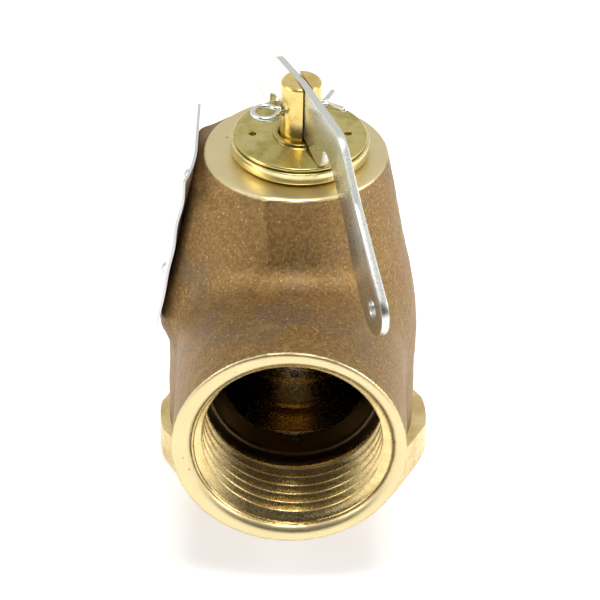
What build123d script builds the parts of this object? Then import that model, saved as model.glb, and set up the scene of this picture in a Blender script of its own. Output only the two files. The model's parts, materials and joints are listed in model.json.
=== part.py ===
from build123d import *
import os
from math import cos, hypot, radians, sin

os.makedirs("parts", exist_ok=True)

# Millimetres. Z is the valve's axis, upwards, with the origin at the centre of the inlet face.
# The outlet points along -Y.

# Pipe threads: both ports take a 3/4 inch taper pipe thread
THREAD_MAJOR_R = 13.05
THREAD_MINOR_R = 11.0
COUNTERSINK = 0.7

# Body casting
FLANGE_Z = 5.5
TOP_Z = 48.8
BARREL_R = 16.9
SHOULDER_Z = 25.0
SHOULDER_BLEND = 60.0
NECK_R = 12.05
TOP_FACE_R = 11.55
TOP_EDGE = 0.45
CORE_SHIFT_X = -0.4
OUTLET_Y = -31.0
OUTLET_Z = 22.8
OUTLET_THREAD_DEPTH = 13.5
BOSS_R = 15.25
BOSS_FILLET = 3.0
CONE_SLOPE = (BARREL_R - NECK_R) / (TOP_Z - SHOULDER_Z)

# Chamber inside the casting
NOZZLE_BORE_R = 15.2
NOZZLE_STEP_Z = 11.5
THROAT_R = 13.6
THROAT_Z = 12.6
CHAMBER_R = 14.0
CHAMBER_TAPER_Z = 24.0
ROOF_Z = 36.5
ROOF_R = 10.4
SLEEVE_SEAT_Z = 41.0
SLEEVE_R = 9.6
TOP_THREAD_R = 8.05

# Nameplate and its pad on the -X side
PAD_Z0 = 24.5
PAD_Z1 = 46.5
PAD_HALF_WIDTH = 8.6
PAD_CORNER_R = 2.5
PAD_DRAFT = 22.0
PAD_DEPTH = 7.0
PAD_RISE = 0.9
PLATE_Z0 = 26.0
PLATE_Z1 = 48.6
PLATE_HALF_WIDTH = 10.0
PLATE_CENTRE_Y = 1.5
PLATE_THICKNESS = 0.5
PLATE_CORNER_R = 1.0
DRIVE_SCREW_Z = (28.2, 43.4)
DRIVE_SHANK_R = 0.6
DRIVE_SHANK_LENGTH = 3.2
DRIVE_HEAD_R = 1.0
DRIVE_HEAD_HEIGHT = 0.55

# Inlet nozzle, turned from hexagon bar
HEX_FLATS = 34.9
HEX_CORNER_R = 18.55
HEX_TURN = 4.0
HEX_CHAMFER = 0.9
SPIGOT_R = 15.15
SPIGOT_Z = 11.0
INLET_THREAD_DEPTH = 11.2
NOZZLE_TOP_R = 13.5
NOZZLE_TOP_Z = 12.4
SEAT_Z = 13.3
SEAT_R0 = 6.6
SEAT_R1 = 7.4
SEAT_FOOT_R = 8.3

# Disc assembly
DISC_R = 7.5
DISC_FLANGE_R = 7.8
DISC_FLANGE_Z = 14.35
DISC_TOP_Z = 15.3
RETAINER_R = 8.7
RETAINER_Z0 = 13.8
RETAINER_LIP_Z = 14.3
RETAINER_LIP_R = 7.56
RETAINER_BORE_R = 7.9
HOLDER_R = 8.3
HOLDER_BORE_R = 7.0
HOLDER_Z0 = 17.0
HOLDER_WEB_Z = 20.0
HOLDER_Z1 = 38.0
GUIDE_CLEARANCE = 0.05
SLEEVE_Z0 = 33.0
PIN_Z = 18.3
PIN_R = 0.6
PIN_HALF_LENGTH = 7.8

# Stem, spring and their washers
STEM_R = 2.67
STEM_Z0 = 17.4
STEM_RISE = 10.9
STEM_CHAMFER = 0.3
STEM_FIT = 0.06
STEM_GROOVE_Z = 23.4
STEM_GROOVE_R = 2.15
CLIP_THICKNESS = 0.8
CLIP_R = 4.0
SPRING_R = 5.6
WIRE_R = 0.8
SPRING_Z0 = 21.2
SPRING_Z1 = 44.1
SPRING_PITCH = 3.2
WASHER_R = 6.6
WASHER_THICKNESS = 1.2
WASHER_NOSE_R = 4.6
WASHER_NOSE = 1.2

# Compression screw and lock ring, heights above the casting's top face
SCREW_R = 8.0
SCREW_Z0 = 42.0
SCREW_RECESS_R = 6.8
SCREW_RECESS_Z = 45.3
HEAD_R = 8.85
HEAD_RISE0 = 2.25
HEAD_RISE1 = 2.7
HEAD_CHAMFER = 0.15
LIP_R0 = 3.05
LIP_R1 = 3.75
LIP_RISE = 3.2
SPANNER_HOLE_R = 0.5
SPANNER_HOLE_DEPTH = 1.2
SPANNER_REACH = 6.3
SPANNER_TURN = 3.0
RING_R = 9.2
RING_RISE = 2.1
RING_CHAMFER = 0.6

# Lever and cotter pin: the lever's plane holds the valve's axis and leans this far from +X to -Y
LEVER_ANGLE = -70.0
LEVER_THICKNESS = 1.0
SLOT_WIDTH = 1.3
SLOT_RISE = 1.0
PIVOT_RISE = 6.8
TOE_REACH = 11.3
TOE_GAP = 0.04
LEVER_TRAVEL = 12.0
LEVER_END = (29.6, -5.6)
LEVER_END_R = 3.5
LEVER_END_SLOPE = -36.9
LEVER_HOLE_R = 1.2
COTTER_R = 0.76
COTTER_HOLE_R = 0.84
COTTER_WIRE_R = 0.4
COTTER_EYE_R = 1.62
COTTER_EYE_REACH = 4.9
COTTER_LEG = 3.7


def turned(*outline):
    """Solid of revolution about Z from an outline of (radius, height) points."""
    points = [(radius, 0, height) for radius, height in outline]
    return revolve(make_face(Polyline(*points, close=True)), Axis.Z)


def rod_along_y(radius, y0, y1, x=0, z=0):
    """Round bar along Y between two stations."""
    return Pos(x, (y0 + y1) / 2, z) * Cylinder(radius, abs(y1 - y0), rotation=(90, 0, 0))


def cone_radius(z):
    """Radius of the casting's upper cone at a height."""
    return BARREL_R - CONE_SLOPE * (z - SHOULDER_Z)


def pad_x(z):
    """Distance of the nameplate pad's face from the axis at a height."""
    return -(cone_radius(z) + PAD_RISE)


def pad_slab(z0, z1, half_width, corner_r, thickness, draft=0.0):
    """Slab on the plane of the pad's face between two heights; a negative thickness goes inwards."""
    middle = ((pad_x(z0) + pad_x(z1)) / 2, PLATE_CENTRE_Y, (z0 + z1) / 2)
    face = Plane(origin=middle, x_dir=(0, 1, 0), z_dir=(-1, 0, CONE_SLOPE))
    length = hypot(pad_x(z1) - pad_x(z0), z1 - z0)
    return extrude(face * RectangleRounded(2 * half_width, length, corner_r), thickness, taper=draft)


def pad_screw_plane(z):
    """Plane on the pad's face for a drive screw at a height, facing outwards."""
    return Plane(origin=(pad_x(z) + CORE_SHIFT_X, PLATE_CENTRE_Y, z), z_dir=(-1, 0, CONE_SLOPE))


def body_casting():
    """Bronze casting: barrel, cone, outlet boss and nameplate pad, with the machined bores."""
    side = FilletPolyline((BARREL_R, 0, FLANGE_Z), (BARREL_R, 0, SHOULDER_Z),
                          (NECK_R, 0, TOP_Z - TOP_EDGE), radius=SHOULDER_BLEND)
    core = Polyline((NECK_R, 0, TOP_Z - TOP_EDGE), (TOP_FACE_R, 0, TOP_Z), (0, 0, TOP_Z),
                    (0, 0, FLANGE_Z), (BARREL_R, 0, FLANGE_Z))
    barrel = revolve(make_face(side + core), Axis.Z)
    boss = rod_along_y(BOSS_R, OUTLET_Y, 0, z=OUTLET_Z)
    shell = barrel + boss
    joint = [e for e in shell.edges() if e.geom_type not in (GeomType.LINE, GeomType.CIRCLE)]
    shell = fillet(joint, BOSS_FILLET)
    shell += pad_slab(PAD_Z0, PAD_Z1, PAD_HALF_WIDTH, PAD_CORNER_R, -PAD_DEPTH, -PAD_DRAFT)
    shell = Pos(CORE_SHIFT_X, 0, 0) * shell
    bore = turned((0, FLANGE_Z - 1), (NOZZLE_BORE_R, FLANGE_Z - 1), (NOZZLE_BORE_R, NOZZLE_STEP_Z),
                  (THROAT_R, NOZZLE_STEP_Z), (THROAT_R, THROAT_Z), (CHAMBER_R, THROAT_Z),
                  (CHAMBER_R, CHAMBER_TAPER_Z), (ROOF_R, ROOF_Z), (SLEEVE_R, ROOF_Z),
                  (SLEEVE_R, SLEEVE_SEAT_Z), (TOP_THREAD_R, SLEEVE_SEAT_Z),
                  (TOP_THREAD_R, TOP_Z + 1), (0, TOP_Z + 1))
    port = rod_along_y(THREAD_MINOR_R, OUTLET_Y, 0, z=OUTLET_Z)
    thread = rod_along_y(THREAD_MAJOR_R, OUTLET_Y, OUTLET_Y + OUTLET_THREAD_DEPTH, z=OUTLET_Z)
    mouth = Cone(THREAD_MAJOR_R + COUNTERSINK, THREAD_MAJOR_R, COUNTERSINK, rotation=(-90, 0, 0))
    mouth = Pos(0, OUTLET_Y + COUNTERSINK / 2, OUTLET_Z) * mouth
    shell -= [bore, port, thread, mouth]
    for z in DRIVE_SCREW_Z:
        shell -= pad_screw_plane(z) * Cylinder(DRIVE_SHANK_R, 2 * DRIVE_SHANK_LENGTH + 0.4)
    return shell


def inlet_nozzle():
    """Hexagon base with the inlet thread, the spigot that screws into the casting, and the seat."""
    hexagon = Pos(0, 0, FLANGE_Z / 2) * extrude(
        Rot(0, 0, HEX_TURN) * RegularPolygon(HEX_FLATS / 2, 6, major_radius=False),
        FLANGE_Z / 2, both=True)
    rounding = turned((0, 0), (HEX_CORNER_R - HEX_CHAMFER, 0), (HEX_CORNER_R, HEX_CHAMFER),
                      (HEX_CORNER_R, FLANGE_Z), (0, FLANGE_Z))
    spigot = turned((0, FLANGE_Z), (SPIGOT_R, FLANGE_Z), (SPIGOT_R, SPIGOT_Z),
                    (NOZZLE_TOP_R, SPIGOT_Z), (NOZZLE_TOP_R, NOZZLE_TOP_Z),
                    (SEAT_FOOT_R, NOZZLE_TOP_Z), (SEAT_R1, SEAT_Z), (0, SEAT_Z))
    bore = turned((0, -1), (THREAD_MAJOR_R, -1), (THREAD_MAJOR_R, INLET_THREAD_DEPTH),
                  (SEAT_R0, INLET_THREAD_DEPTH),
                  (SEAT_R0, SEAT_Z + 1), (0, SEAT_Z + 1))
    return (hexagon & rounding) + spigot - bore


def base_gasket():
    """Flat ring between the nozzle's shoulder and the casting."""
    return turned((THROAT_R, SPIGOT_Z), (SPIGOT_R, SPIGOT_Z), (SPIGOT_R, NOZZLE_STEP_Z),
                  (THROAT_R, NOZZLE_STEP_Z))


def seat_disc():
    """Elastomer disc that closes the seat."""
    return turned((0, SEAT_Z), (DISC_R, SEAT_Z), (DISC_R, DISC_FLANGE_Z),
                  (DISC_FLANGE_R, DISC_FLANGE_Z), (DISC_FLANGE_R, DISC_TOP_Z), (0, DISC_TOP_Z))


def disc_retainer():
    """Threaded ring that holds the disc to its holder."""
    return turned((RETAINER_LIP_R, RETAINER_Z0), (RETAINER_R, RETAINER_Z0), (RETAINER_R, HOLDER_Z0),
                  (RETAINER_BORE_R, HOLDER_Z0), (RETAINER_BORE_R, RETAINER_LIP_Z),
                  (RETAINER_LIP_R, RETAINER_LIP_Z))


def disc_holder():
    """Cup that slides in the guide sleeve, holds the disc below and the spring inside."""
    spigot_r = RETAINER_BORE_R - GUIDE_CLEARANCE
    cup = turned((0, DISC_TOP_Z), (spigot_r, DISC_TOP_Z), (spigot_r, HOLDER_Z0), (HOLDER_R, HOLDER_Z0),
                 (HOLDER_R, HOLDER_Z1), (HOLDER_BORE_R, HOLDER_Z1), (HOLDER_BORE_R, HOLDER_WEB_Z),
                 (0, HOLDER_WEB_Z))
    socket = Pos(0, 0, (STEM_Z0 + HOLDER_WEB_Z) / 2) * Cylinder(
        STEM_R + STEM_FIT, HOLDER_WEB_Z - STEM_Z0 + 0.2)
    return cup - socket - rod_along_y(PIN_R + 0.02, -HOLDER_R, HOLDER_R, z=PIN_Z)


def spindle_pin():
    """Cross pin that ties the stem to the disc holder."""
    return rod_along_y(PIN_R, -PIN_HALF_LENGTH, PIN_HALF_LENGTH, z=PIN_Z)


def guide_sleeve():
    """Sleeve pressed into the casting that guides the disc holder."""
    bore_r = HOLDER_R + GUIDE_CLEARANCE
    return turned((bore_r, SLEEVE_Z0), (SLEEVE_R, SLEEVE_Z0), (SLEEVE_R, SLEEVE_SEAT_Z),
                  (bore_r, SLEEVE_SEAT_Z))


def spring_washer(z0, direction):
    """Washer with a nose that centres the spring; direction is the way the nose points."""
    bore_r = STEM_R + STEM_FIT
    face = z0 + direction * (WASHER_THICKNESS)
    nose = face + direction * WASHER_NOSE
    return turned((bore_r, z0), (WASHER_R, z0), (WASHER_R, face), (WASHER_NOSE_R, face),
                  (WASHER_NOSE_R, nose), (bore_r, nose))


def spring():
    """Compression spring with its end coils ground flat."""
    height = SPRING_Z1 - SPRING_Z0
    path = Pos(0, 0, SPRING_Z0) * Helix(SPRING_PITCH, height, SPRING_R)
    start = Plane(origin=path @ 0, z_dir=path % 0)
    coil = sweep(start * Circle(WIRE_R), path, is_frenet=True)
    room = Pos(0, 0, SPRING_Z0 + height / 2) * Cylinder(SPRING_R + 2 * WIRE_R, height)
    return coil & room


def stem_clip():
    """Retaining ring in the stem's groove, above the lower spring washer."""
    z1 = STEM_GROOVE_Z + CLIP_THICKNESS
    return turned((STEM_GROOVE_R, STEM_GROOVE_Z), (CLIP_R, STEM_GROOVE_Z), (CLIP_R, z1),
                  (STEM_GROOVE_R, z1))


def along_lever(shape):
    """Puts a shape drawn in the XZ plane into the lever's plane."""
    return Rot(0, 0, LEVER_ANGLE) * shape


def stem():
    """Stem with a forked top that carries the lever."""
    top = TOP_Z + STEM_RISE
    groove_z1 = STEM_GROOVE_Z + CLIP_THICKNESS
    bar = turned((0, STEM_Z0), (STEM_R, STEM_Z0), (STEM_R, STEM_GROOVE_Z),
                 (STEM_GROOVE_R, STEM_GROOVE_Z), (STEM_GROOVE_R, groove_z1), (STEM_R, groove_z1),
                 (STEM_R, top - STEM_CHAMFER), (STEM_R - STEM_CHAMFER, top), (0, top))
    slot_height = STEM_RISE - SLOT_RISE
    slot = Pos(0, 0, top - slot_height / 2) * Box(3 * STEM_R, SLOT_WIDTH, slot_height)
    cross_hole = rod_along_y(COTTER_HOLE_R, -2 * STEM_R, 2 * STEM_R, z=TOP_Z + PIVOT_RISE)
    pin_hole = rod_along_y(PIN_R + 0.02, -HOLDER_R, HOLDER_R, z=PIN_Z)
    return bar - along_lever(slot) - along_lever(cross_hole) - pin_hole


def compression_screw():
    """Screw that loads the spring, with a thin round head and two spanner holes."""
    bore_r = STEM_R + STEM_FIT
    head0 = TOP_Z + HEAD_RISE0
    head1 = TOP_Z + HEAD_RISE1
    lip = TOP_Z + LIP_RISE
    screw = turned((SCREW_RECESS_R, SCREW_Z0), (SCREW_R, SCREW_Z0), (SCREW_R, head0), (HEAD_R, head0),
                   (HEAD_R, head1 - HEAD_CHAMFER), (HEAD_R - HEAD_CHAMFER, head1), (LIP_R1, head1),
                   (LIP_R1, lip), (LIP_R0, lip), (bore_r, head1), (bore_r, SCREW_RECESS_Z),
                   (SCREW_RECESS_R, SCREW_RECESS_Z))
    for side in (-1, 1):
        hole = Pos(side * SPANNER_REACH, 0, head1 - SPANNER_HOLE_DEPTH / 2) * Cylinder(
            SPANNER_HOLE_R, SPANNER_HOLE_DEPTH)
        screw -= Rot(0, 0, SPANNER_TURN) * hole
    return screw


def lock_ring():
    """Thin threaded ring that jams the compression screw against the casting."""
    return turned((TOP_THREAD_R, TOP_Z), (RING_R - RING_CHAMFER, TOP_Z), (RING_R, TOP_Z + RING_CHAMFER),
                  (RING_R, TOP_Z + RING_RISE), (TOP_THREAD_R, TOP_Z + RING_RISE))


def toe_point(turn):
    """Point of the toe's curve, in the lever's own plane, that bears on the casting at a turn.

    The curve is the involute of a circle of radius TOE_REACH about the pivot, so the lift is
    TOE_REACH times the turn and the toe always bears at that distance from the axis.
    """
    string = PIVOT_RISE - TOE_GAP + TOE_REACH * radians(turn)
    s = -TOE_REACH * cos(radians(turn)) - string * sin(radians(turn))
    rise = PIVOT_RISE + TOE_REACH * sin(radians(turn)) - string * cos(radians(turn))
    return (s, rise)


def lever():
    """Flat lifting lever, cut from sheet: back tab with the toe, heel, and bent arm with an eye."""
    along = (LEVER_END_R * cos(radians(LEVER_END_SLOPE)), LEVER_END_R * sin(radians(LEVER_END_SLOPE)))
    across = (-along[1], along[0])
    end_top = (LEVER_END[0] + along[0] + across[0], LEVER_END[1] + along[1] + across[1])
    end_low = (LEVER_END[0] + along[0] - across[0], LEVER_END[1] + along[1] - across[1])
    corners = [((-9.6, 9.4), 5.0), ((0.6, 10.9), 12.0), ((15.6, 11.6), 4.0), ((22.0, 5.3), 14.0),
               (end_top, LEVER_END_R - 0.02), (end_low, LEVER_END_R - 0.02),
               ((24.2, -6.2), 12.0), ((18.3, 0.9), 8.0), ((12.9, 5.9), 1.6), ((10.2, 6.9), 1.2),
               ((9.4, 2.8), 1.6), ((7.0, 2.8), 1.4), ((4.4, 3.6), 1.5), ((-8.8, 3.6), 1.5),
               ((-10.75, 2.8), 0.8), ((-11.45, -1.2), 0.3), ((-14.6, -1.0), 0.3), ((-15.9, 2.9), 1.6)]
    outline = FilletPolyline(*[point for point, _ in corners],
                             radius=[radius for _, radius in corners], close=True)
    plate = make_face(outline)
    last = toe_point(LEVER_TRAVEL + 1)
    below = Polyline(last, (last[0] - 4, last[1] + 0.4), (last[0] - 4, -3), (-10, -3),
                     (-10, toe_point(0)[1]), toe_point(0))
    plate -= make_face(ThreePointArc(toe_point(0), toe_point(LEVER_TRAVEL / 2), last) + below)
    plate -= Pos(LEVER_END) * Circle(LEVER_HOLE_R)
    plate -= Pos(0, PIVOT_RISE) * Circle(COTTER_HOLE_R)
    solid = extrude(Plane.XZ * plate, LEVER_THICKNESS / 2, both=True)
    return along_lever(Pos(0, 0, TOP_Z) * solid)


def cotter_pin():
    """Split pin: round eye at the front, two half-round legs spread apart behind the stem."""
    shank = rod_along_y(COTTER_R, -COTTER_LEG, COTTER_LEG)
    eye = Pos(0, -COTTER_EYE_REACH, 0) * Torus(COTTER_EYE_R, COTTER_WIRE_R)
    pin = shank + eye
    for side in (-1, 1):
        bent = Line((side * 0.4, COTTER_LEG - 0.3, 0), (side * 2.4, COTTER_LEG + 1.5, 0))
        pin += sweep(Plane(origin=bent @ 0, z_dir=bent % 0) * Circle(COTTER_WIRE_R), bent)
    return along_lever(Pos(0, 0, TOP_Z + PIVOT_RISE) * pin)


def nameplate():
    """Thin aluminium plate on the pad, with two holes."""
    plate = pad_slab(PLATE_Z0, PLATE_Z1, PLATE_HALF_WIDTH, PLATE_CORNER_R, PLATE_THICKNESS)
    plate = Pos(CORE_SHIFT_X, 0, 0) * plate
    for z in DRIVE_SCREW_Z:
        plate -= pad_screw_plane(z) * Cylinder(DRIVE_SHANK_R + 0.05, 4 * PLATE_THICKNESS)
    return plate


def drive_screws():
    """Two hammer-drive screws with domed heads."""
    screws = []
    bulge_r = (DRIVE_HEAD_R ** 2 + DRIVE_HEAD_HEIGHT ** 2) / (2 * DRIVE_HEAD_HEIGHT)
    for z in DRIVE_SCREW_Z:
        base = pad_screw_plane(z)
        shank_top = PLATE_THICKNESS
        shank = Pos(0, 0, (shank_top - DRIVE_SHANK_LENGTH) / 2) * Cylinder(
            DRIVE_SHANK_R - 0.02, shank_top + DRIVE_SHANK_LENGTH)
        dome = Pos(0, 0, shank_top + DRIVE_HEAD_HEIGHT - bulge_r) * Sphere(bulge_r)
        dome &= Pos(0, 0, shank_top + DRIVE_HEAD_HEIGHT / 2) * Cylinder(
            2 * DRIVE_HEAD_R, DRIVE_HEAD_HEIGHT)
        screws.append(base * (shank + dome))
    return Compound(children=screws)


PARTS = {
    "body_casting": body_casting(),
    "inlet_nozzle": inlet_nozzle(),
    "base_gasket": base_gasket(),
    "seat_disc": seat_disc(),
    "disc_retainer": disc_retainer(),
    "disc_holder": disc_holder(),
    "spindle_pin": spindle_pin(),
    "guide_sleeve": guide_sleeve(),
    "stem": stem(),
    "stem_clip": stem_clip(),
    "lower_spring_washer": spring_washer(HOLDER_WEB_Z, 1),
    "spring": spring(),
    "upper_spring_washer": spring_washer(SCREW_RECESS_Z, -1),
    "compression_screw": compression_screw(),
    "lock_ring": lock_ring(),
    "lever": lever(),
    "cotter_pin": cotter_pin(),
    "nameplate": nameplate(),
    "drive_screws": drive_screws(),
}
for name, shape in PARTS.items():
    export_step(shape, f"parts/{name}.step")
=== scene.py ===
import json

import bmesh
import bpy
import numpy as np
from mathutils import Matrix, Vector


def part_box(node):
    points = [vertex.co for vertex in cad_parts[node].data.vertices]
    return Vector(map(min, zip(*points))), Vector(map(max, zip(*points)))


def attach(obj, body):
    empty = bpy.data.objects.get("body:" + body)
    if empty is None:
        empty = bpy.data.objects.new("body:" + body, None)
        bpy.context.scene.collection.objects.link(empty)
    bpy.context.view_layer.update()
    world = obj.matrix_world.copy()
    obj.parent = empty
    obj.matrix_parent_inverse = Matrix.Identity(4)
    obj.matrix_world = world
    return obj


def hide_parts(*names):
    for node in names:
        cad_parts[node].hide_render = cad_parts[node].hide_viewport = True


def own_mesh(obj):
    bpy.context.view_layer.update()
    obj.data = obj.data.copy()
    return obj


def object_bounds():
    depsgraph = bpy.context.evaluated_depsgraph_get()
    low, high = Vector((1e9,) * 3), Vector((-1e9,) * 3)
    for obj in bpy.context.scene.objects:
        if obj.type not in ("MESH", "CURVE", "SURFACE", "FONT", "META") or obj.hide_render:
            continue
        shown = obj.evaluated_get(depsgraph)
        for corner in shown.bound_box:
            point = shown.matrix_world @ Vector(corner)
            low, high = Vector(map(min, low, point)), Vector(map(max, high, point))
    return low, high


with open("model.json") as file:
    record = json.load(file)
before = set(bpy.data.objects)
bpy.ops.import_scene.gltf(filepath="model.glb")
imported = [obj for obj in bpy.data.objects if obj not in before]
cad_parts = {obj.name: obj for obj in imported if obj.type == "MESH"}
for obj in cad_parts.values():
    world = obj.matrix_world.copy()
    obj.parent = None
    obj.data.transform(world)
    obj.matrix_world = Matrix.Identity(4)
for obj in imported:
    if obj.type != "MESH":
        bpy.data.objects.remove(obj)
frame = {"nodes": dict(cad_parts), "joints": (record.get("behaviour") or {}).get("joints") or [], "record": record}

cad_low, cad_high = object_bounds()
nodes = frame["nodes"]
MM = 0.001


# Studio: the valve stands on its inlet face on a pale floor, in a white room that is darker
# in front. Soft boxes hang overhead and at both sides.
CAMERA_PITCH = np.radians(35.0)
CAMERA_ROLL = np.radians(1.45)
CAMERA_DISTANCE = 423.5 * MM
CAMERA_LENS = 197.0
AIM_RIGHT = 0.52 * MM
AIM_UP = 19.35 * MM
FLOOR_HALF = 4.0
ROOM_STRENGTH = 0.8

mounts = {mount["name"]: mount for mount in frame["record"]["mounts"]}
casting_low, casting_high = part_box("body_casting")
outlet_face = Vector((0, casting_low.y, mounts["outlet"]["pos_m"][2]))
forward = Vector((0, np.cos(CAMERA_PITCH), -np.sin(CAMERA_PITCH)))
upward = Vector((0, np.sin(CAMERA_PITCH), np.cos(CAMERA_PITCH)))
camera_data = bpy.data.cameras.new("camera")
camera_data.lens = CAMERA_LENS
camera = bpy.data.objects.new("camera", camera_data)
place = outlet_face + Vector((AIM_RIGHT, 0, 0)) + AIM_UP * upward
turn = Matrix((Vector((1, 0, 0)), upward, -forward)).transposed() @ Matrix.Rotation(CAMERA_ROLL, 3, "Z")
camera.matrix_world = Matrix.Translation(place - CAMERA_DISTANCE * forward) @ turn.to_4x4()
bpy.context.scene.collection.objects.link(camera)
bpy.context.scene.camera = camera
bpy.context.scene.view_settings.view_transform = "Standard"


class Wire:
    """An output socket of a node tree. Arithmetic on wires adds Math nodes."""

    def __init__(self, tree, socket):
        self.tree = tree
        self.socket = socket

    def make(self, kind, settings, inputs, output=0):
        """Adds a node: settings are its properties, inputs its sockets' values or wires."""
        node = self.tree.nodes.new(kind)
        stops = settings.pop("stops", None)
        for name, value in settings.items():
            setattr(node, name, value)
        if stops:
            while len(node.color_ramp.elements) < len(stops):
                node.color_ramp.elements.new(1.0)
            for element, (position, colour) in zip(node.color_ramp.elements, stops):
                element.position = position
                element.color = (*colour, 1)
        for name, value in inputs.items():
            if isinstance(value, Wire):
                self.tree.links.new(value.socket, node.inputs[name])
            else:
                node.inputs[name].default_value = value
        return Wire(self.tree, node.outputs[output])

    def maths(self, operation, first, second=0.0):
        return self.make("ShaderNodeMath", {"operation": operation}, {0: first, 1: second})

    def __add__(self, other):
        return self.maths("ADD", self, other)

    def __sub__(self, other):
        return self.maths("SUBTRACT", self, other)

    def __mul__(self, other):
        return self.maths("MULTIPLY", self, other)

    def __rsub__(self, other):
        return self.maths("SUBTRACT", other, self)

    __radd__ = __add__
    __rmul__ = __mul__

    def part(self, axis):
        """X, Y or Z of a vector wire."""
        return self.make("ShaderNodeSeparateXYZ", {}, {0: self}, "XYZ".index(axis))

    def step(self, low, high):
        """0 below low and 1 above high, smooth between; falling if low is above high."""
        if low > high:
            return 1 - self.step(high, low)
        settings = {"interpolation_type": "SMOOTHSTEP"}
        return self.make("ShaderNodeMapRange", settings, {0: self, 1: low, 2: high})

    def noise(self, size, detail=2.0, rough=0.5, stretch=(1, 1, 1)):
        """Cloudy noise from 0 to 1 with features of a size in metres."""
        stretched = self.make("ShaderNodeVectorMath", {"operation": "MULTIPLY"}, {0: self, 1: stretch})
        inputs = {"Vector": stretched, "Scale": 1 / size, "Detail": detail, "Roughness": rough}
        return self.make("ShaderNodeTexNoise", {}, inputs)

    def cells(self, size):
        """Distance to the nearest of scattered points a size apart, in shares of that size."""
        return self.make("ShaderNodeTexVoronoi", {}, {"Vector": self, "Scale": 1 / size})

    def blend(self, low, high):
        """Colour between two colours, by this wire from 0 to 1."""
        inputs = {0: self, 6: low if isinstance(low, Wire) else (*low, 1),
                  7: high if isinstance(high, Wire) else (*high, 1)}
        settings = {"data_type": "RGBA", "clamp_factor": True}
        return self.make("ShaderNodeMix", settings, inputs, 2)

    def bump(self, depth):
        """Normal of a surface raised by this wire times a depth in metres."""
        return self.make("ShaderNodeBump", {}, {"Strength": 1.0, "Distance": depth, "Height": self})

    def attribute(self, name):
        """A number stored at the mesh's points."""
        return self.make("ShaderNodeAttribute", {"attribute_name": name}, {}, "Fac")

    def from_axis(self):
        """Distance of a place from the Z axis."""
        flat = self.make("ShaderNodeVectorMath", {"operation": "MULTIPLY"}, {0: self, 1: (1, 1, 0)})
        return flat.make("ShaderNodeVectorMath", {"operation": "LENGTH"}, {0: flat}, "Value")

    def waves(self, spacing):
        """Sine waves from 0 to 1 along this wire, a spacing in metres apart."""
        turned = self * (2 * np.pi / spacing)
        return turned.maths("SINE", turned) * 0.5 + 0.5


def finish_of(name, recipe):
    """Material whose recipe takes the place on the object and returns the shader's inputs."""
    made = bpy.data.materials.new(name)
    made.use_nodes = True
    tree = made.node_tree
    shader = tree.nodes["Principled BSDF"]
    where = Wire(tree, tree.nodes.new("ShaderNodeTexCoord").outputs["Object"])
    for socket, value in recipe(where).items():
        if isinstance(value, Wire):
            tree.links.new(value.socket, shader.inputs[socket])
        else:
            shader.inputs[socket].default_value = value
    return made


def coat(piece, finish):
    """Gives a piece one finish."""
    piece.data.materials.clear()
    piece.data.materials.append(finish)


def show(mesh, name):
    """New object with a mesh, at the origin."""
    piece = bpy.data.objects.new(name, mesh)
    bpy.context.scene.collection.objects.link(piece)
    return piece


def floor_recipe(where):
    """Pale matt paper with the faintest cloud."""
    tint = where.noise(0.05, 3.0).blend((0.9, 0.9, 0.9), (0.93, 0.93, 0.93))
    return {"Base Color": tint, "Roughness": 0.9, "Emission Color": tint, "Emission Strength": 0.35}


floor_mesh = bpy.data.meshes.new("floor")
corners = [(-FLOOR_HALF, -FLOOR_HALF, 0), (FLOOR_HALF, -FLOOR_HALF, 0),
           (FLOOR_HALF, FLOOR_HALF, 0), (-FLOOR_HALF, FLOOR_HALF, 0)]
floor_mesh.from_pydata(corners, [], [(0, 1, 2, 3)])
floor = show(floor_mesh, "floor")
coat(floor, finish_of("floor_paper", floor_recipe))

room = bpy.data.worlds.new("room")
room.use_nodes = True
bpy.context.scene.world = room
sky = room.node_tree.nodes["Background"]
direction = Wire(room.node_tree, room.node_tree.nodes.new("ShaderNodeTexCoord").outputs["Generated"])
frontness = (direction.part("Y") * -1).step(0.0, 0.75)
room.node_tree.links.new(frontness.blend((1.0, 1.0, 1.0), (0.07, 0.065, 0.06)).socket, sky.inputs[0])
sky.inputs[1].default_value = ROOM_STRENGTH


def soft_box(name, place, aim, size, power):
    """Square area light at a place, aimed at a point."""
    data = bpy.data.lights.new(name, "AREA")
    data.energy = power
    data.size = size
    light = bpy.data.objects.new(name, data)
    light.location = place
    light.rotation_euler = (Vector(aim) - Vector(place)).to_track_quat("-Z", "Y").to_euler()
    bpy.context.scene.collection.objects.link(light)


aim = (cad_low + cad_high) / 2
soft_box("overhead_box", (0.02, -0.10, 0.55), aim, 0.22, 1.5)
soft_box("left_box", (-0.5, -0.12, 0.30), aim, 0.30, 1.0)
soft_box("right_box", (0.5, -0.10, 0.28), aim, 0.30, 1.3)


# Body casting: sand-cast bronze. The skin is rough as it left the mould, with a parting seam
# down the middle; the outlet's face, the top face and the bores are turned afterwards.
BARREL_R = 16.9
NECK_R = 12.05
SHOULDER_Z = 25.0
BOSS_R = 15.25
PAD_RISE = 0.9
PAD_HALF_WIDTH = 8.6
PAD_Z0 = 24.5
PAD_Z1 = 46.5
PAD_DRAFT = np.radians(22.0)
PAD_Y = 1.5
PAD_BACK = 5.0
PAD_CORNER_R = 2.5
PAD_EDGE_R = 1.0
SHOULDER_BLEND = 2.0
BOSS_BLEND = 3.6
PAD_BLEND = 3.0
WALL_TEST = 1.3
OPEN_AIR = -WALL_TEST * 9
QUAD_SIZE = 0.37
NUDGE = 0.01
PROJECTIONS = 4
SKIN_TEST = 0.3
SKIN_LUMPS = ((0.09, 5.5, 1), (0.045, 1.7, 2), (0.035, 0.9, 3))
SEAM_HEIGHT = 0.10
SEAM_WIDTH = 0.28
PORT_R = mounts["outlet"]["dims"]["r_mm"]
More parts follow.
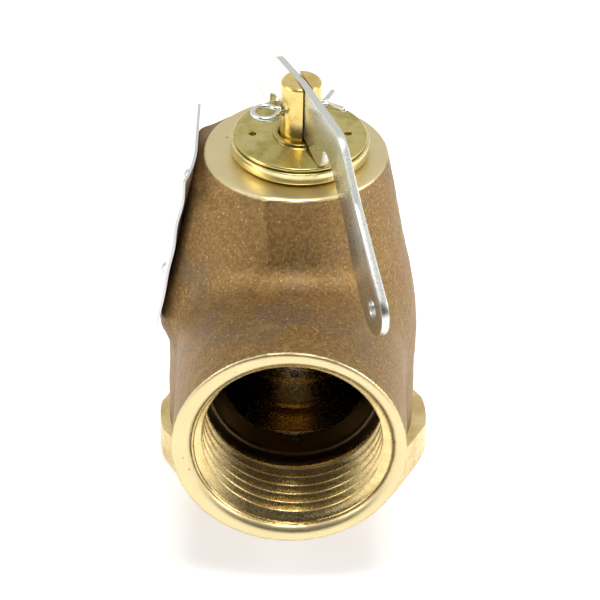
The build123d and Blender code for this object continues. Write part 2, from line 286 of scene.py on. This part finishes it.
PORT_DEPTH = 12.5
COUNTERSINK = 0.7
NECK_BORE_R = 8.05
NECK_DEPTH = 6.0
EDGE_BREAK = 0.35
CORE_X = -0.4
OUTLET_Z = outlet_face.z / MM
FACE_Y = outlet_face.y / MM
TOP_Z = casting_high.z / MM
FOOT_Z = casting_low.z / MM
CONE_SLOPE = (BARREL_R - NECK_R) / (TOP_Z - SHOULDER_Z)


def rounded_union(first, second, reach):
    """Union of two distances with a fillet: the smaller, less where they are within reach."""
    near = np.maximum(reach - np.abs(first - second), 0) / reach
    return np.minimum(first, second) - near ** 2 * reach / 4


def skin_distance(points):
    """Distance of points, in mm, from the casting's skin: barrel and cone, outlet boss, and the
    nameplate's drafted pad, joined by fillets."""
    x, y, z = points[:, 0] - CORE_X, points[:, 1], points[:, 2]
    around = np.hypot(x, y)
    cone = (around - BARREL_R + CONE_SLOPE * (z - SHOULDER_Z)) / np.hypot(1, CONE_SLOPE)
    barrel = -rounded_union(-(around - BARREL_R), -cone, SHOULDER_BLEND)
    boss = np.maximum(np.hypot(x, z - OUTLET_Z) - BOSS_R, y)
    shape = rounded_union(barrel, boss, BOSS_BLEND)
    face = (-x - BARREL_R - PAD_RISE + CONE_SLOPE * (z - SHOULDER_Z)) / np.hypot(1, CONE_SLOPE)
    middle = (PAD_Z0 + PAD_Z1) / 2
    upslope = z - middle + CONE_SLOPE * (x + BARREL_R + PAD_RISE - CONE_SLOPE * (middle - SHOULDER_Z))
    ends = np.abs(upslope) / np.hypot(1, CONE_SLOPE) - (PAD_Z1 - PAD_Z0) / 2 * np.hypot(1, CONE_SLOPE)
    sides = -rounded_union(PAD_HALF_WIDTH - np.abs(y - PAD_Y), -ends, PAD_CORNER_R)
    sides = sides * np.cos(PAD_DRAFT) + face * np.sin(PAD_DRAFT)
    pad = np.maximum(-rounded_union(-face, -sides, PAD_EDGE_R), x + PAD_BACK)
    return rounded_union(shape, pad, PAD_BLEND)


def lumps(points, size, seed):
    """Smooth random lumps from -1 to 1: random numbers on a cubic lattice of a size in mm,
    blended between its corners with an S-shaped weight."""
    table = np.random.default_rng(seed).uniform(-1, 1, (64, 64, 64))
    grid = points / size
    corner = np.floor(grid).astype(int)
    share = grid - corner
    share = share * share * (3 - 2 * share)
    total = np.zeros(len(points))
    for step in np.ndindex(2, 2, 2):
        weight = np.prod(np.where(np.array(step), share, 1 - share), axis=1)
        cell = (corner + step) % 64
        total += weight * table[cell[:, 0], cell[:, 1], cell[:, 2]]
    return total


def machined_distance(points):
    """Distance of points, in mm, from the whole casting near its outside: the skin, cut by the
    outlet's face and countersunk bore, the top face and its bore, and the foot. Each edge is
    broken by the same rounding as a fillet's, turned inside out."""
    x, y, z = points.T
    around_outlet = np.hypot(x, z - OUTLET_Z)
    port_r = PORT_R + np.maximum(COUNTERSINK - (y - FACE_Y), 0)
    port = np.where(y < FACE_Y + PORT_DEPTH, port_r - around_outlet, OPEN_AIR)
    neck = np.where(z > TOP_Z - NECK_DEPTH, NECK_BORE_R - np.hypot(x, y), OPEN_AIR)
    solid = skin_distance(points)
    for cut in (FACE_Y - y, z - TOP_Z, FOOT_Z - z, port, neck):
        solid = -rounded_union(-solid, -cut, EDGE_BREAK)
    return solid


def merged(node):
    """Editable copy of a CAD node's mesh with its loose corners joined."""
    work = bmesh.new()
    work.from_mesh(nodes[node].data)
    bmesh.ops.remove_doubles(work, verts=work.verts, dist=0.0005 * MM)
    return work


def evenly_meshed(node, size):
    """Mesh of a CAD node rebuilt from even quads of a size in mm."""
    work = merged(node)
    mesh = bpy.data.meshes.new(node)
    work.to_mesh(mesh)
    work.free()
    rough = bpy.data.objects.new(node, mesh)
    bpy.context.scene.collection.objects.link(rough)
    remesh = rough.modifiers.new("even", "REMESH")
    remesh.mode = "VOXEL"
    remesh.voxel_size = size * MM
    even = bpy.data.meshes.new_from_object(rough.evaluated_get(bpy.context.evaluated_depsgraph_get()))
    bpy.data.objects.remove(rough)
    return even


casting_mesh = evenly_meshed("body_casting", QUAD_SIZE)
places = np.zeros(3 * len(casting_mesh.vertices), np.float32)
casting_mesh.vertices.foreach_get("co", places)
places = places.reshape(-1, 3).astype(float) / MM
outside = np.abs(machined_distance(places)) < WALL_TEST
for _ in range(PROJECTIONS):
    height = machined_distance(places)
    slope = np.stack([machined_distance(places + NUDGE * axis) - height for axis in np.eye(3)], 1) / NUDGE
    slope /= np.maximum(np.sum(slope ** 2, 1), 0.25)[:, None]
    places -= (outside * height)[:, None] * slope
normal = slope / np.maximum(np.linalg.norm(slope, axis=1), 1e-9)[:, None]
from_faces = np.minimum.reduce([places[:, 1] - FACE_Y, TOP_Z - places[:, 2], places[:, 2] - FOOT_Z])
on_skin = np.abs(skin_distance(places)) < SKIN_TEST
share = outside * on_skin * np.clip((from_faces - 0.15) / 0.5, 0, 1)
seam = np.exp(-((places[:, 0] - CORE_X - 0.15 * lumps(places, 5.0, 4)) / SEAM_WIDTH) ** 2)
relief = sum(depth * lumps(places, size, seed) for depth, size, seed in SKIN_LUMPS)
relief += SEAM_HEIGHT * seam * (0.7 + 0.3 * lumps(places, 1.5, 5)) - 0.05
places += (share * relief)[:, None] * normal
casting_mesh.vertices.foreach_set("co", (places * MM).astype(np.float32).ravel())
for stored, values in (("cast", share), ("bore", ~outside)):
    mark = casting_mesh.attributes.new(stored, "FLOAT", "POINT")
    mark.data.foreach_set("value", values.astype(np.float32))
casting_mesh.shade_smooth()


def casting_recipe(where):
    """Brown cast skin with grey patches and golden painted glints; pale satin where a tool has been, and painted
    shade darkening the chamber."""
    cast = where.attribute("cast").step(0.05, 0.6)
    clouds = where.noise(9 * MM, 4.0, 0.6)
    grains = where.noise(0.45 * MM, 3.0, 0.7)
    fine = where.noise(0.16 * MM, 2.0, 0.6)
    skin = grains.step(0.35, 0.7).blend((0.23, 0.128, 0.045), (0.37, 0.235, 0.088))
    skin = (clouds.step(0.50, 0.72) * 0.6).blend(skin, (0.17, 0.13, 0.09))
    skin = (where.noise(3 * MM, 3.0).step(0.55, 0.75) * 0.4).blend(skin, (0.40, 0.27, 0.105))
    # Painted glints: bright golden specks that stand in for the cast skin's sparkle under the lamps.
    painted_glints = where.noise(0.30 * MM, 1.0).step(0.66, 0.72)
    skin = (painted_glints * 0.45).blend(skin, (0.80, 0.62, 0.32))
    pits = where.cells(2.6 * MM).step(0.10, 0.05) * where.noise(2.0 * MM).step(0.52, 0.62)
    turned = where.noise(4 * MM, 3.0).blend((0.66, 0.54, 0.29), (0.76, 0.65, 0.37))
    turned = (pits * 0.75).blend(turned, (0.22, 0.14, 0.06))
    # Painted shade: the chamber's turned surfaces are coloured dark brown in place of the shade inside the valve.
    turned = where.attribute("bore").step(0.2, 0.8).blend(turned, (0.13, 0.085, 0.04))
    marks = where.noise(0.5 * MM, 3.0, 0.6)
    rough = cast * (grains * 0.22 + 0.42) + (1 - cast) * (marks * 0.16 + 0.30)
    height = cast * (grains * 0.6 + fine * 0.3) + (1 - cast) * (marks * 0.05 - pits * 0.3)
    return {"Base Color": cast.blend(turned, skin), "Metallic": 1 - 0.12 * cast,
            "Roughness": rough, "Normal": height.bump(0.11 * MM)}


casting = show(casting_mesh, "casting")
coat(casting, finish_of("sand_cast_bronze", casting_recipe))
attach(casting, "valve_body")
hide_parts("body_casting")


# Port threads: 14 turns to the inch, cut in both ports of the valve's brass and bronze. Each is
# a liner over the plain bore of its port, with the helix worked out row by row.
THREAD_PITCH = 25.4 / 14
THREAD_DEPTH = 1.28
CREST_SHARE = 0.04
FLANK_SHARE = 0.42
THREAD_START = 0.9
THREAD_END = 1.2
ROWS_PER_TURN = 16
STEPS_ROUND = 240
LINER_GAP = 0.03


def thread_height(share):
    """Height of a 60 degree thread above its root at a share of its pitch, with narrow flats."""
    flank = np.clip((np.abs(share - 0.5) - CREST_SHARE) / FLANK_SHARE, 0, 1)
    return THREAD_DEPTH * (1 - flank)


def grid_faces(rows, columns, close_rows, close_columns):
    """Quads of a grid of points, in row order, with either direction closed into a ring."""
    row = np.arange(rows - (not close_rows))[:, None]
    column = np.arange(columns - (not close_columns))[None, :]
    next_row = (row + 1) % rows
    next_column = (column + 1) % columns
    corners = [row * columns + column, row * columns + next_column,
               next_row * columns + next_column, next_row * columns + column]
    return np.stack([np.broadcast_to(c, corners[0].shape) for c in corners], -1).reshape(-1, 4)


def surface(name, points, close_rows=False, close_columns=False):
    """Mesh of a grid of points in mm, shape rows by columns by 3."""
    rows, columns = points.shape[:2]
    mesh = bpy.data.meshes.new(name)
    faces = grid_faces(rows, columns, close_rows, close_columns)
    mesh.from_pydata((points.reshape(-1, 3) * MM).tolist(), [], faces.tolist())
    tidy = bmesh.new()
    tidy.from_mesh(mesh)
    bmesh.ops.remove_doubles(tidy, verts=tidy.verts, dist=0.0004 * MM)
    bmesh.ops.dissolve_degenerate(tidy, edges=tidy.edges, dist=0.0003 * MM)
    bmesh.ops.recalc_face_normals(tidy, faces=tidy.faces)
    tidy.to_mesh(mesh)
    tidy.free()
    mesh.shade_smooth()
    mesh.set_sharp_from_angle(angle=np.radians(32))
    return mesh


def threaded_liner(name, bore_r, start, depth):
    """Threaded tube round Z from start to start plus depth: round the axis and along it the
    radius is the bore's, less the thread's height at that place on the helix. Rows follow the
    helix, so the crests are crisp, and are held to the tube's ends."""
    turns = int(np.ceil(depth / THREAD_PITCH)) + 2
    angle = np.linspace(0, 2 * np.pi, STEPS_ROUND + 1)
    row = np.arange(turns * ROWS_PER_TURN + 1) / ROWS_PER_TURN
    along = (row[:, None] - 1 + angle[None, :] / (2 * np.pi)) * THREAD_PITCH
    height = thread_height(row % 1)[:, None] * np.ones_like(along)
    inside = np.clip(along, 0, depth)
    runout = np.clip(np.minimum(inside / THREAD_START, (depth - inside) / THREAD_END), 0, 1)
    radius = bore_r - LINER_GAP - height * runout
    inner = np.stack([radius * np.cos(angle), radius * np.sin(angle), start + inside], -1)
    back_r = bore_r - LINER_GAP / 2
    ends = [inner[0], inner[-1]]
    for end, height_z in zip(ends, (start, start + depth)):
        end[:, 2] = height_z
    back = [np.stack([back_r * np.cos(angle), back_r * np.sin(angle), np.full_like(angle, z)], -1)
            for z in (start + depth, start)]
    return surface(name, np.concatenate([inner, np.stack(back)]), close_rows=True)


def turned_brass_recipe(where):
    """Yellow brass with fine turning rings, a little stained."""
    rings = (where.from_axis() + where.part("Z")).waves(0.22 * MM)
    stain = where.noise(3.5 * MM, 4.0, 0.6)
    colour = stain.step(0.35, 0.7).blend((0.80, 0.64, 0.31), (0.62, 0.45, 0.19))
    rough = stain * 0.16 + where.noise(0.4 * MM).step(0.3, 0.8) * 0.08 + 0.16
    return {"Base Color": colour, "Metallic": 1.0, "Roughness": rough,
            "Normal": (rings * 0.35 + where.noise(0.3 * MM, 2.0) * 0.5).bump(0.02 * MM)}


turned_brass = finish_of("turned_brass", turned_brass_recipe)
to_outlet = Matrix.Translation(outlet_face) @ Matrix.Rotation(np.radians(-90), 4, "X")
for port, mouth, short in (("outlet", 0.75, 0.1), ("inlet", 0.3, 0.5)):
    size = mounts[port]["dims"]
    liner = show(threaded_liner(port + "_thread", size["r_mm"], mouth, size["length_mm"] - short),
                 port + "_thread")
    if port == "outlet":
        liner.data.transform(to_outlet)
    coat(liner, turned_brass)
    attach(liner, "valve_body")


# Turned brass pieces: nozzle, compression screw, lock ring and stem. Each is cut from bar, and a
# copy of each gets its sharp edges broken, as a deburring tool leaves them.
SHARP_EDGE = np.radians(28)
SMOOTH_LIMIT = np.radians(40)


def softened(node, width, segments=2):
    """Copy of a CAD node with flat faces made whole and sharp edges rounded by a width in mm."""
    work = merged(node)
    bmesh.ops.dissolve_limit(work, angle_limit=np.radians(0.5), verts=work.verts, edges=work.edges)
    sharp = [e for e in work.edges if len(e.link_faces) == 2 and e.calc_face_angle() > SHARP_EDGE]
    bmesh.ops.bevel(work, geom=sharp, offset=width * MM, segments=segments, profile=0.5, affect="EDGES",
                    clamp_overlap=True)
    bmesh.ops.triangulate(work, faces=work.faces)
    mesh = bpy.data.meshes.new(node)
    work.to_mesh(mesh)
    work.free()
    mesh.shade_smooth()
    mesh.set_sharp_from_angle(angle=SMOOTH_LIMIT)
    return show(mesh, node + "_shape")


def polished_brass(name, clean, tarnished):
    """Bright brass with rings from the lathe, tarnished in soft patches."""
    def recipe(where):
        rings = where.from_axis().waves(0.13 * MM)
        tarnish = where.noise(3.0 * MM, 5.0, 0.65)
        colour = tarnish.step(0.40, 0.70).blend(clean, tarnished)
        specks = where.noise(0.35 * MM, 2.0).step(0.68, 0.74)
        colour = (specks * 0.6).blend(colour, (0.20, 0.12, 0.04))
        rough = tarnish * 0.18 + where.noise(0.5 * MM, 3.0) * 0.10 + 0.10
        return {"Base Color": colour, "Metallic": 1.0, "Roughness": rough,
                "Normal": (rings * 0.25 + where.noise(0.25 * MM, 3.0) * 0.3).bump(0.008 * MM)}
    return finish_of(name, recipe)


olive_brass = polished_brass("olive_brass", (0.60, 0.50, 0.19), (0.42, 0.35, 0.10))
# The lock ring's pale brass is partly its own colour and partly painted highlight, lightened to match the bright
# reflection on its front.
pale_brass = polished_brass("pale_brass", (0.80, 0.70, 0.38), (0.66, 0.55, 0.24))
yellow_brass = polished_brass("yellow_brass", (0.78, 0.60, 0.22), (0.66, 0.47, 0.15))
for node, body, slot, finish, width in (
        ("inlet_nozzle", "valve_body", "turned_brass", turned_brass, 0.2),
        ("compression_screw", "valve_body", "polished_brass", olive_brass, 0.05),
        ("lock_ring", "valve_body", "polished_brass", pale_brass, 0.12),
        ("stem", "spindle", "polished_brass", yellow_brass, 0.06)):
    piece = softened(node, width)
    coat(piece, finish)
    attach(piece, body)
    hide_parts(node)
for node in ("disc_holder", "disc_retainer", "guide_sleeve", "lower_spring_washer", "upper_spring_washer"):
    coat(nodes[node], turned_brass)


# Lifting lever: stamped from 1 mm sheet steel and zinc plated. It turns on the cotter pin in the
# stem's fork.
def zinc_recipe(where):
    """Bright zinc with a faint blue and yellow tint, rolling marks and rub marks."""
    tint = where.noise(6 * MM, 3.0).blend((0.66, 0.69, 0.67), (0.72, 0.72, 0.64))
    rub = where.noise(0.8 * MM, 4.0, 0.7, (1, 1, 3))
    rough = rub * 0.18 + 0.20
    return {"Base Color": tint, "Metallic": 1.0, "Roughness": rough,
            "Normal": (rub * 0.6 + where.noise(0.3 * MM, 2.0) * 0.3).bump(0.005 * MM)}


zinc = finish_of("bright_zinc", zinc_recipe)
lever = softened("lever", 0.12, 3)
coat(lever, zinc)
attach(lever, "lifting_lever")
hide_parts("lever")


# Cotter pin: one soft steel wire doubled into a round eye, through the stem and lever, with its
# legs spread behind the stem.
COTTER_WIRE_R = 0.38
COTTER_EYE_R = 1.62
COTTER_EYE_REACH = 4.9
COTTER_NECK = 0.35
COTTER_LEG = 3.5
COTTER_SPREAD = (1.9, 1.7)
joints = {joint["name"]: joint for joint in frame["joints"]}
pivot = joints["lever_pivot"]


def wire_along(name, path, radius, sides=16):
    """Closed round wire in mm along a path of points: a circle in the plane across each place,
    whose sideways direction is that of Z across the path; the ends are domed."""
    path = np.array(path, float)
    ahead = np.gradient(path, axis=0)
    ahead /= np.linalg.norm(ahead, axis=1)[:, None]
    side = np.cross(ahead, [0, 0, 1])
    side /= np.linalg.norm(side, axis=1)[:, None]
    rise = np.cross(side, ahead)
    angle = np.arange(sides) * 2 * np.pi / sides
    ring = side[:, None] * np.cos(angle)[:, None] + rise[:, None] * np.sin(angle)[:, None]
    dome = np.linspace(0, np.pi / 2, 5)
    start = [path[0] - ahead[0] * radius * np.sin(t) + ring[0] * radius * np.cos(t) for t in dome[::-1]]
    end = [path[-1] + ahead[-1] * radius * np.sin(t) + ring[-1] * radius * np.cos(t) for t in dome]
    body = path[1:-1, None] + ring[1:-1] * radius
    return surface(name, np.concatenate([start, body, end]), close_columns=True)


def smoothed(corners, spacing, rounds):
    """Path of points a spacing apart along straight runs between corners. In each round every
    point moves to the mean of itself, counted twice, and its two neighbours."""
    corners = np.array(corners, float)
    runs = np.linalg.norm(np.diff(corners, axis=0), axis=1)
    reach = np.concatenate([[0], np.cumsum(runs)])
    at = np.linspace(0, reach[-1], int(reach[-1] / spacing) + 1)
    path = np.stack([np.interp(at, reach, corners[:, k]) for k in range(3)], 1)
    for _ in range(rounds):
        path[1:-1] = (path[:-2] + 2 * path[1:-1] + path[2:]) / 4
    return path


gap = COTTER_WIRE_R + 0.005
sweep = np.linspace(np.radians(70), np.radians(-250), 40)
eye = [(COTTER_EYE_R * np.cos(a), -COTTER_EYE_REACH + COTTER_EYE_R * np.sin(a), 0) for a in sweep]
behind = [(gap, COTTER_LEG, 0), (gap + COTTER_SPREAD[0], COTTER_LEG + COTTER_SPREAD[1], 0)]
neck = [(gap, -COTTER_EYE_REACH + COTTER_EYE_R + COTTER_NECK, 0)]
half = behind[::-1] + neck
path = half + eye + [(-x, y, z) for x, y, z in half[::-1]]
cotter = show(wire_along("cotter", smoothed(path, 0.12, 6), COTTER_WIRE_R), "cotter")
across = -Vector(pivot["axis"])
to_pivot = Matrix((across.cross((0, 0, 1)), across, Vector((0, 0, 1)))).transposed().to_4x4()
cotter.data.transform(Matrix.Translation(pivot["pos_m"]) @ to_pivot)
coat(cotter, zinc)
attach(cotter, "spindle")
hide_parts("cotter_pin")


# Spring: round wire coiled between the two washers, with closed ends.
SPRING_R = 5.6
SPRING_WIRE_R = 0.8
SPRING_PITCH = 3.2
SPRING_END_TURNS = 1.25
SPRING_POINTS = 480
spring_low, spring_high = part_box("spring")
spring_z = (spring_low.z / MM + SPRING_WIRE_R, spring_high.z / MM - SPRING_WIRE_R)
end_height = SPRING_END_TURNS * 2 * SPRING_WIRE_R
free = (spring_z[1] - spring_z[0] - 2 * end_height) / SPRING_PITCH
turn_at = np.array([0, SPRING_END_TURNS, SPRING_END_TURNS + free, 2 * SPRING_END_TURNS + free])
height_at = np.array([spring_z[0], spring_z[0] + end_height, spring_z[1] - end_height, spring_z[1]])
turn = np.linspace(0, turn_at[-1], SPRING_POINTS)
coil = np.stack([SPRING_R * np.cos(2 * np.pi * turn), SPRING_R * np.sin(2 * np.pi * turn),
                 np.interp(turn, turn_at, height_at)], 1)
spring = show(wire_along("spring_wire", coil, SPRING_WIRE_R - 0.02, 14), "spring_wire")


def spring_recipe(where):
    """Dark blued spring steel, oiled."""
    oil = where.noise(2 * MM, 3.0)
    return {"Base Color": oil.blend((0.16, 0.16, 0.17), (0.28, 0.26, 0.24)), "Metallic": 1.0,
            "Roughness": oil * 0.25 + 0.22, "Normal": where.noise(0.3 * MM).bump(0.006 * MM)}


spring_steel = finish_of("spring_steel", spring_recipe)
coat(spring, spring_steel)
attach(spring, "valve_body")
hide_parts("spring")
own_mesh(spring)
for node in ("spindle_pin", "stem_clip"):
    coat(nodes[node], spring_steel)
coat(nodes["drive_screws"], zinc)


# Nameplate: blank aluminium sheet on the casting's pad, held by two drive screws. Its front edge
# is bent a little off the pad.
def aluminium_recipe(where):
    """Satin aluminium, brushed along the plate."""
    brushed = where.noise(0.3 * MM, 3.0, 0.6, (1, 1, 0.06))
    return {"Base Color": brushed.blend((0.66, 0.66, 0.64), (0.76, 0.76, 0.74)), "Metallic": 1.0,
            "Roughness": brushed * 0.2 + 0.28, "Normal": brushed.bump(0.012 * MM)}


PLATE_Z0 = 26.0
PLATE_Z1 = 48.6
PLATE_HALF_WIDTH = 10.0
PLATE_THICKNESS = 0.36
PLATE_GAP = 0.14
PLATE_CURL = 1.1
PLATE_WAVE = 0.16


def curled_plate():
    """Closed sheet on the pad's plane. With f the share of the way to the front edge and u the
    share of the way up, its lift off the plane is the curl times f squared times
    (0.25 + 0.75 u to the power 1.5), plus the wave times f u times a sine of u, plus the gap."""
    low_x = -(BARREL_R + PAD_RISE - CONE_SLOPE * (PLATE_Z0 - SHOULDER_Z)) + CORE_X
    across = np.linspace(-1, 1, 61)
    up = np.linspace(0, 1, 91)
    run = np.hypot(1, CONE_SLOPE)
    y, u = np.meshgrid(across, up)
    front = np.clip((-0.15 - y) / 0.85, 0, 1)
    lift = PLATE_CURL * front ** 2 * (0.25 + u ** 1.5 * 0.75)
    lift += PLATE_WAVE * np.sin(u * 19 + 1) * front * u + PLATE_GAP
    base = np.stack([low_x + CONE_SLOPE * (PLATE_Z1 - PLATE_Z0) * u, PAD_Y + PLATE_HALF_WIDTH * y,
                     PLATE_Z0 + (PLATE_Z1 - PLATE_Z0) * u], -1)
    out = np.array([-1, 0, CONE_SLOPE]) / run
    under = base + out * lift[..., None]
    over = base + out * (lift + PLATE_THICKNESS)[..., None]
    loop = np.concatenate([over, under[:, ::-1]], axis=1)
    middle = (over + under) / 2
    ends = np.concatenate([middle, middle[:, ::-1]], axis=1)
    return surface("plate", np.concatenate([ends[:1], loop, ends[-1:]]), close_columns=True)


plate = show(curled_plate(), "curled_plate")
coat(plate, finish_of("plate_aluminium", aluminium_recipe))
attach(plate, "valve_body")
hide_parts("nameplate")


# Seat disc and base gasket: moulded silicone and pressed fibre.
def silicone_recipe(where):
    """Orange-red silicone rubber, a little dusty."""
    dust = where.noise(1.5 * MM, 4.0)
    return {"Base Color": dust.blend((0.70, 0.13, 0.03), (0.78, 0.22, 0.07)), "Roughness": dust * 0.2 + 0.35}


def fibre_recipe(where):
    """Grey-green pressed fibre."""
    strands = where.noise(0.6 * MM, 4.0, 0.7)
    return {"Base Color": strands.blend((0.10, 0.12, 0.10), (0.20, 0.22, 0.18)), "Roughness": 0.8,
            "Normal": strands.bump(0.04 * MM)}


coat(nodes["seat_disc"], finish_of("silicone", silicone_recipe))
coat(nodes["base_gasket"], finish_of("gasket_fibre", fibre_recipe))
